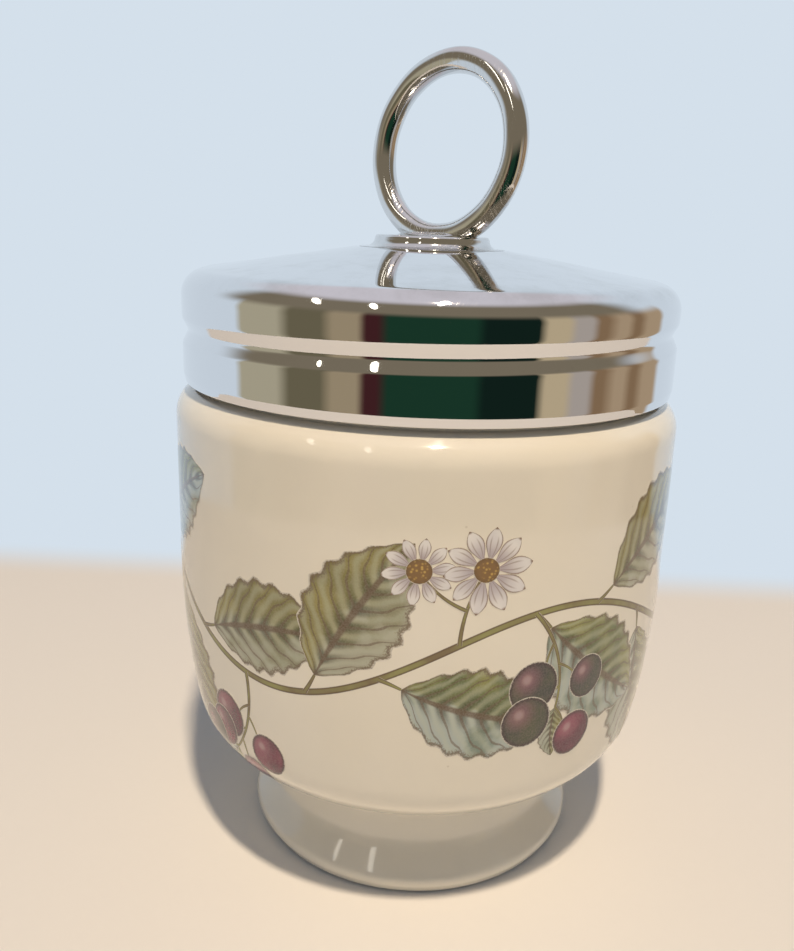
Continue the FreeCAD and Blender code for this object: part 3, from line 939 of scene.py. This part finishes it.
def heart_ink():
    """Ochre button made of dots, darker towards its edge."""
    material, tree, shader, u, v, _, grain, _ = ink_material("heart_ink")
    from_middle = round_place(tree, u, v)[2]
    place = add_node(tree, "ShaderNodeTexCoord").outputs["Object"]
    dots = add_node(tree, "ShaderNodeTexVoronoi", None, Vector=place, Scale=2600.0).outputs["Distance"]
    colour = blend_colours(tree, spread(tree, dots, 0.1, 0.5), (0.55, 0.36, 0.08, 1), (0.22, 0.12, 0.035, 1))
    colour = blend_colours(tree, spread(tree, from_middle, 0.6, 1.0, 0.0, 0.8), colour, (0.14, 0.08, 0.03, 1))
    finish_ink(tree, shader, colour, from_middle, grain)
    return material


INKS = ((print_leaves, leaf_ink), (print_stems, stem_ink), (print_petals, petal_ink),
        (print_berries, berry_ink), (print_hearts, heart_ink))
for piece, make_ink in INKS:
    piece.data.materials.append(make_ink())
print("inks on", ", ".join(piece.name for piece, make_ink in INKS))

# %% [markdown]
# The studio is plain: a flat pale floor that turns into the colour of a pale backdrop behind the cup,
# a warm lamp high up on the camera's side, and an even fill from all round. Bright metal shows whatever
# stands round it, so one curved surround with toned bands stands in front, where only reflections can
# see it. A photographer puts up such cards to give metal its dark and light bands. Above it,
# reflections meet a dim room and then a pale ceiling.

# %% Build the floor and the backdrop's colour
BACKDROP = (0.66, 0.745, 0.83, 1)
FLOOR_COLOUR = (0.84, 0.82, 0.785, 1)
SWEEP_NEAR = 70.0
SWEEP_FAR = 90.0


def reflection_or_camera(tree):
    """1 for rays from the camera, off a glossy surface or through a clear one; 0 for light that lands."""
    path = add_node(tree, "ShaderNodeLightPath")
    shine = maths(tree, "MAXIMUM", path.outputs["Is Glossy Ray"], path.outputs["Is Transmission Ray"])
    return maths(tree, "MAXIMUM", path.outputs["Is Camera Ray"], shine), shine, path.outputs["Is Camera Ray"]


def make_floor():
    """Round floor of matt paper, which turns into the backdrop's colour behind the cup and far out."""
    angle = np.linspace(0, TURN, 96, endpoint=False)
    reach = np.array([0.05, 0.15, 0.3, 0.6, 1.2, 2.4, 5.0])[:, None] / MM
    points = np.stack([reach * np.cos(angle), reach * np.sin(angle), 0 * reach * angle], axis=-1)
    floor = make_piece("studio_floor", points[:, ::-1], wrap_columns=True, pole_first=(0, 0, 0))
    material, tree, shader = new_material("floor_paper", Roughness=0.9, Specular_IOR_Level=0.0)
    place = add_node(tree, "ShaderNodeTexCoord").outputs["Object"]
    fibres = maths(tree, "MULTIPLY", noise(tree, place, 900.0, 3.0), 0.10)
    paper = blend_colours(tree, fibres, FLOOR_COLOUR, (0.74, 0.71, 0.66, 1))
    tree.links.new(paper, shader.inputs["Base Color"])
    behind = add_node(tree, "ShaderNodeVectorMath", {"operation": "DOT_PRODUCT"}, i0=place,
                      i1=tuple(-TOWARDS)).outputs["Value"]
    away = add_node(tree, "ShaderNodeVectorMath", {"operation": "LENGTH"}, i0=place).outputs["Value"]
    sweep = spread(tree, behind, SWEEP_NEAR * MM, SWEEP_FAR * MM)
    seen = reflection_or_camera(tree)[0]
    fade = maths(tree, "MULTIPLY", maths(tree, "MAXIMUM", sweep, spread(tree, away, 0.3, 1.0)), seen)
    glow = add_node(tree, "ShaderNodeEmission", None, Color=BACKDROP, Strength=1.0)
    mixed = add_node(tree, "ShaderNodeMixShader", None, Fac=fade, i1=shader.outputs[0], i2=glow.outputs[0])
    tree.links.new(mixed.outputs[0], tree.nodes["Material Output"].inputs["Surface"])
    floor.data.materials.append(material)
    return floor


make_floor()

# %% Light the air
FILL = (0.20, 0.22, 0.262, 1)
DIM_ROOM = (0.205, 0.172, 0.122, 1)
CEILING = (0.66, 0.63, 0.68, 1)


def light_world():
    """An even fill for light that lands, the backdrop for the camera, and a room for what metal mirrors."""
    world = bpy.data.worlds.new("studio_air")
    bpy.context.scene.world = world
    world.use_nodes = True
    tree = world.node_tree
    way = add_node(tree, "ShaderNodeTexCoord").outputs["Generated"]
    ahead = add_node(tree, "ShaderNodeVectorMath", {"operation": "DOT_PRODUCT"}, i0=way,
                     i1=tuple(TOWARDS)).outputs["Value"]
    high = add_node(tree, "ShaderNodeSeparateXYZ", None, Vector=way).outputs[2]
    around = blend_colours(tree, spread(tree, ahead, -0.40, -0.05), BACKDROP, DIM_ROOM)
    overhead = spread(tree, maths(tree, "MULTIPLY_ADD", ahead, -0.18, high), 0.67, 0.90)
    around = blend_colours(tree, overhead, around, CEILING)
    shine, camera_ray = reflection_or_camera(tree)[1:]
    colour = blend_colours(tree, shine, FILL, around)
    colour = blend_colours(tree, camera_ray, colour, BACKDROP)
    tree.links.new(colour, tree.nodes["Background"].inputs["Color"])


light_world()

# %% [markdown]
# One warm lamp does the lighting. The three spark lamps light nothing. They are there for the metal and
# the glaze, where a small bright spot says that the surface is polished.

# %% Hang the lamps
def add_lamp(name, turn, tilt, distance, size, watts, colour):
    """Round lamp aimed at the cup: turn is degrees right of the camera, tilt is degrees off the vertical."""
    data = bpy.data.lights.new(name, "AREA")
    data.shape = "DISK"
    data.size = size
    data.energy = watts
    data.color = colour
    lamp = bpy.data.objects.new(name, data)
    level = TOWARDS * math.cos(math.radians(turn)) + ACROSS * math.sin(math.radians(turn))
    way = level * math.sin(math.radians(tilt)) + Vector((0, 0, math.cos(math.radians(tilt))))
    aim = Vector((0, 0, 0.04))
    facing = way.to_track_quat("Z", "Y").to_matrix().to_4x4()
    lamp.matrix_world = Matrix.Translation(aim + way * distance) @ facing
    bpy.context.scene.collection.objects.link(lamp)
    return lamp


def add_spark(name, turn, tilt, slant):
    """Tall narrow lamp that lights nothing: only mirrors show it, and a tight curve shrinks it to a dot.

    A round shoulder bends the mirror image of an upright lamp; slant leans the lamp's top the other way.
    """
    lamp = add_lamp(name, turn, tilt, 0.90, 0.045, 0.16, (1.0, 0.93, 0.80))
    lamp.data.shape = "ELLIPSE"
    lamp.data.size_y = 0.32
    lamp.matrix_world = lamp.matrix_world @ Matrix.Rotation(math.radians(slant), 4, "Z")
    lamp.visible_diffuse = False


add_lamp("key_lamp", 10.8, 22.5, 0.96, 0.055, 7.7, (1.0, 0.815, 0.61))
add_spark("spark_lamp_front", 10.8, 22.5, -14.0)
add_spark("spark_lamp_left", -28.4, 45.0, 16.0)
add_spark("spark_lamp_far_left", -61.0, 45.0, 35.0)

# %% Stand the surround
SURROUND_REACH = 170.0
SURROUND_TURN = 125.0
SURROUND_HEIGHTS = (-1.0, 95.0, 150.0)
SURROUND_OPEN = (-85.0, 115.0)
PALE_CARD = (0.43, 0.39, 0.28, 1)
TAUPE_CARD = (0.15, 0.13, 0.08, 1)
SAND_CARD = (0.35, 0.28, 0.18, 1)
MAROON_CARD = (0.055, 0.016, 0.018, 1)
GREEN_CARD = (0.011, 0.042, 0.024, 1)
BLACK_CARD = (0.006, 0.016, 0.012, 1)
CREAM_CARD = (0.52, 0.42, 0.27, 1)
STONE_CARD = (0.42, 0.37, 0.33, 1)
BROWN_CARD = (0.25, 0.16, 0.09, 1)
TAN_CARD = (0.42, 0.31, 0.20, 1)
CARDS = [(-81, -62, PALE_CARD), (-56, -42, TAUPE_CARD), (-37, -27, SAND_CARD), (-24, -19, MAROON_CARD),
         (-15, 18, GREEN_CARD), (22, 43, BLACK_CARD), (47, 56, CREAM_CARD), (60, 67, STONE_CARD),
         (71, 75, BROWN_CARD), (82, 87, TAN_CARD), (92, 95, BROWN_CARD), (101, 111, TAN_CARD)]


def make_surround():
    """Curved screen in front of the cup; its bands run from left to right, and it thins out at its top."""
    turn = np.linspace(-SURROUND_TURN, SURROUND_TURN, 121)[None, :]
    height = np.array(SURROUND_HEIGHTS)[:, None]
    angle = FRONT + np.radians(turn)
    x = SURROUND_REACH * np.cos(angle) + 0 * height
    y = SURROUND_REACH * np.sin(angle) + 0 * height
    surround = make_piece("toned_surround", np.stack([x, y, height + 0 * angle], axis=-1))
    surround.visible_camera = False
    surround.visible_diffuse = False
    surround.visible_shadow = False
    corner = np.zeros(len(surround.data.loops), dtype=int)
    surround.data.loops.foreach_get("vertex_index", corner)
    along = (turn / SURROUND_TURN + 1) / 2 + 0 * height
    share = np.stack([along, height / SURROUND_HEIGHTS[-1] + 0 * turn], axis=-1).reshape(-1, 2)
    surround.data.uv_layers.new(name="bands").data.foreach_set("uv", share[corner].ravel())
    material = bpy.data.materials.new("surround_tones")
    material.use_nodes = True
    tree = material.node_tree
    band = add_node(tree, "ShaderNodeUVMap", {"uv_map": "bands"}).outputs[0]
    parts = add_node(tree, "ShaderNodeSeparateXYZ", None, Vector=band)
    ramp = add_node(tree, "ShaderNodeValToRGB", None, Fac=parts.outputs[0])
    steps = ramp.color_ramp.elements
    steps[0].color = BACKDROP
    steps[1].color = BACKDROP
    for degrees in SURROUND_OPEN:
        steps.new((degrees / SURROUND_TURN + 1) / 2).color = BACKDROP
    for first, last, tone in CARDS:
        steps.new((first / SURROUND_TURN + 1) / 2).color = tone
        steps.new((last / SURROUND_TURN + 1) / 2).color = tone
    glow = add_node(tree, "ShaderNodeEmission", None, Color=ramp.outputs[0], Strength=1.0)
    clear = add_node(tree, "ShaderNodeBsdfTransparent")
    top = spread(tree, parts.outputs[1], 0.60, 0.95)
    mixed = add_node(tree, "ShaderNodeMixShader", None, Fac=top, i1=glow.outputs[0], i2=clear.outputs[0])
    tree.links.new(mixed.outputs[0], tree.nodes["Material Output"].inputs["Surface"])
    surround.data.materials.append(material)
    return surround


make_surround()
lamps = [item for item in bpy.data.objects if item.type == "LIGHT"]
print("studio has", len(lamps), "lamps and a surround of", len(CARDS), "cards")

# %% Finish
bpy.context.scene.view_settings.view_transform = "Standard"
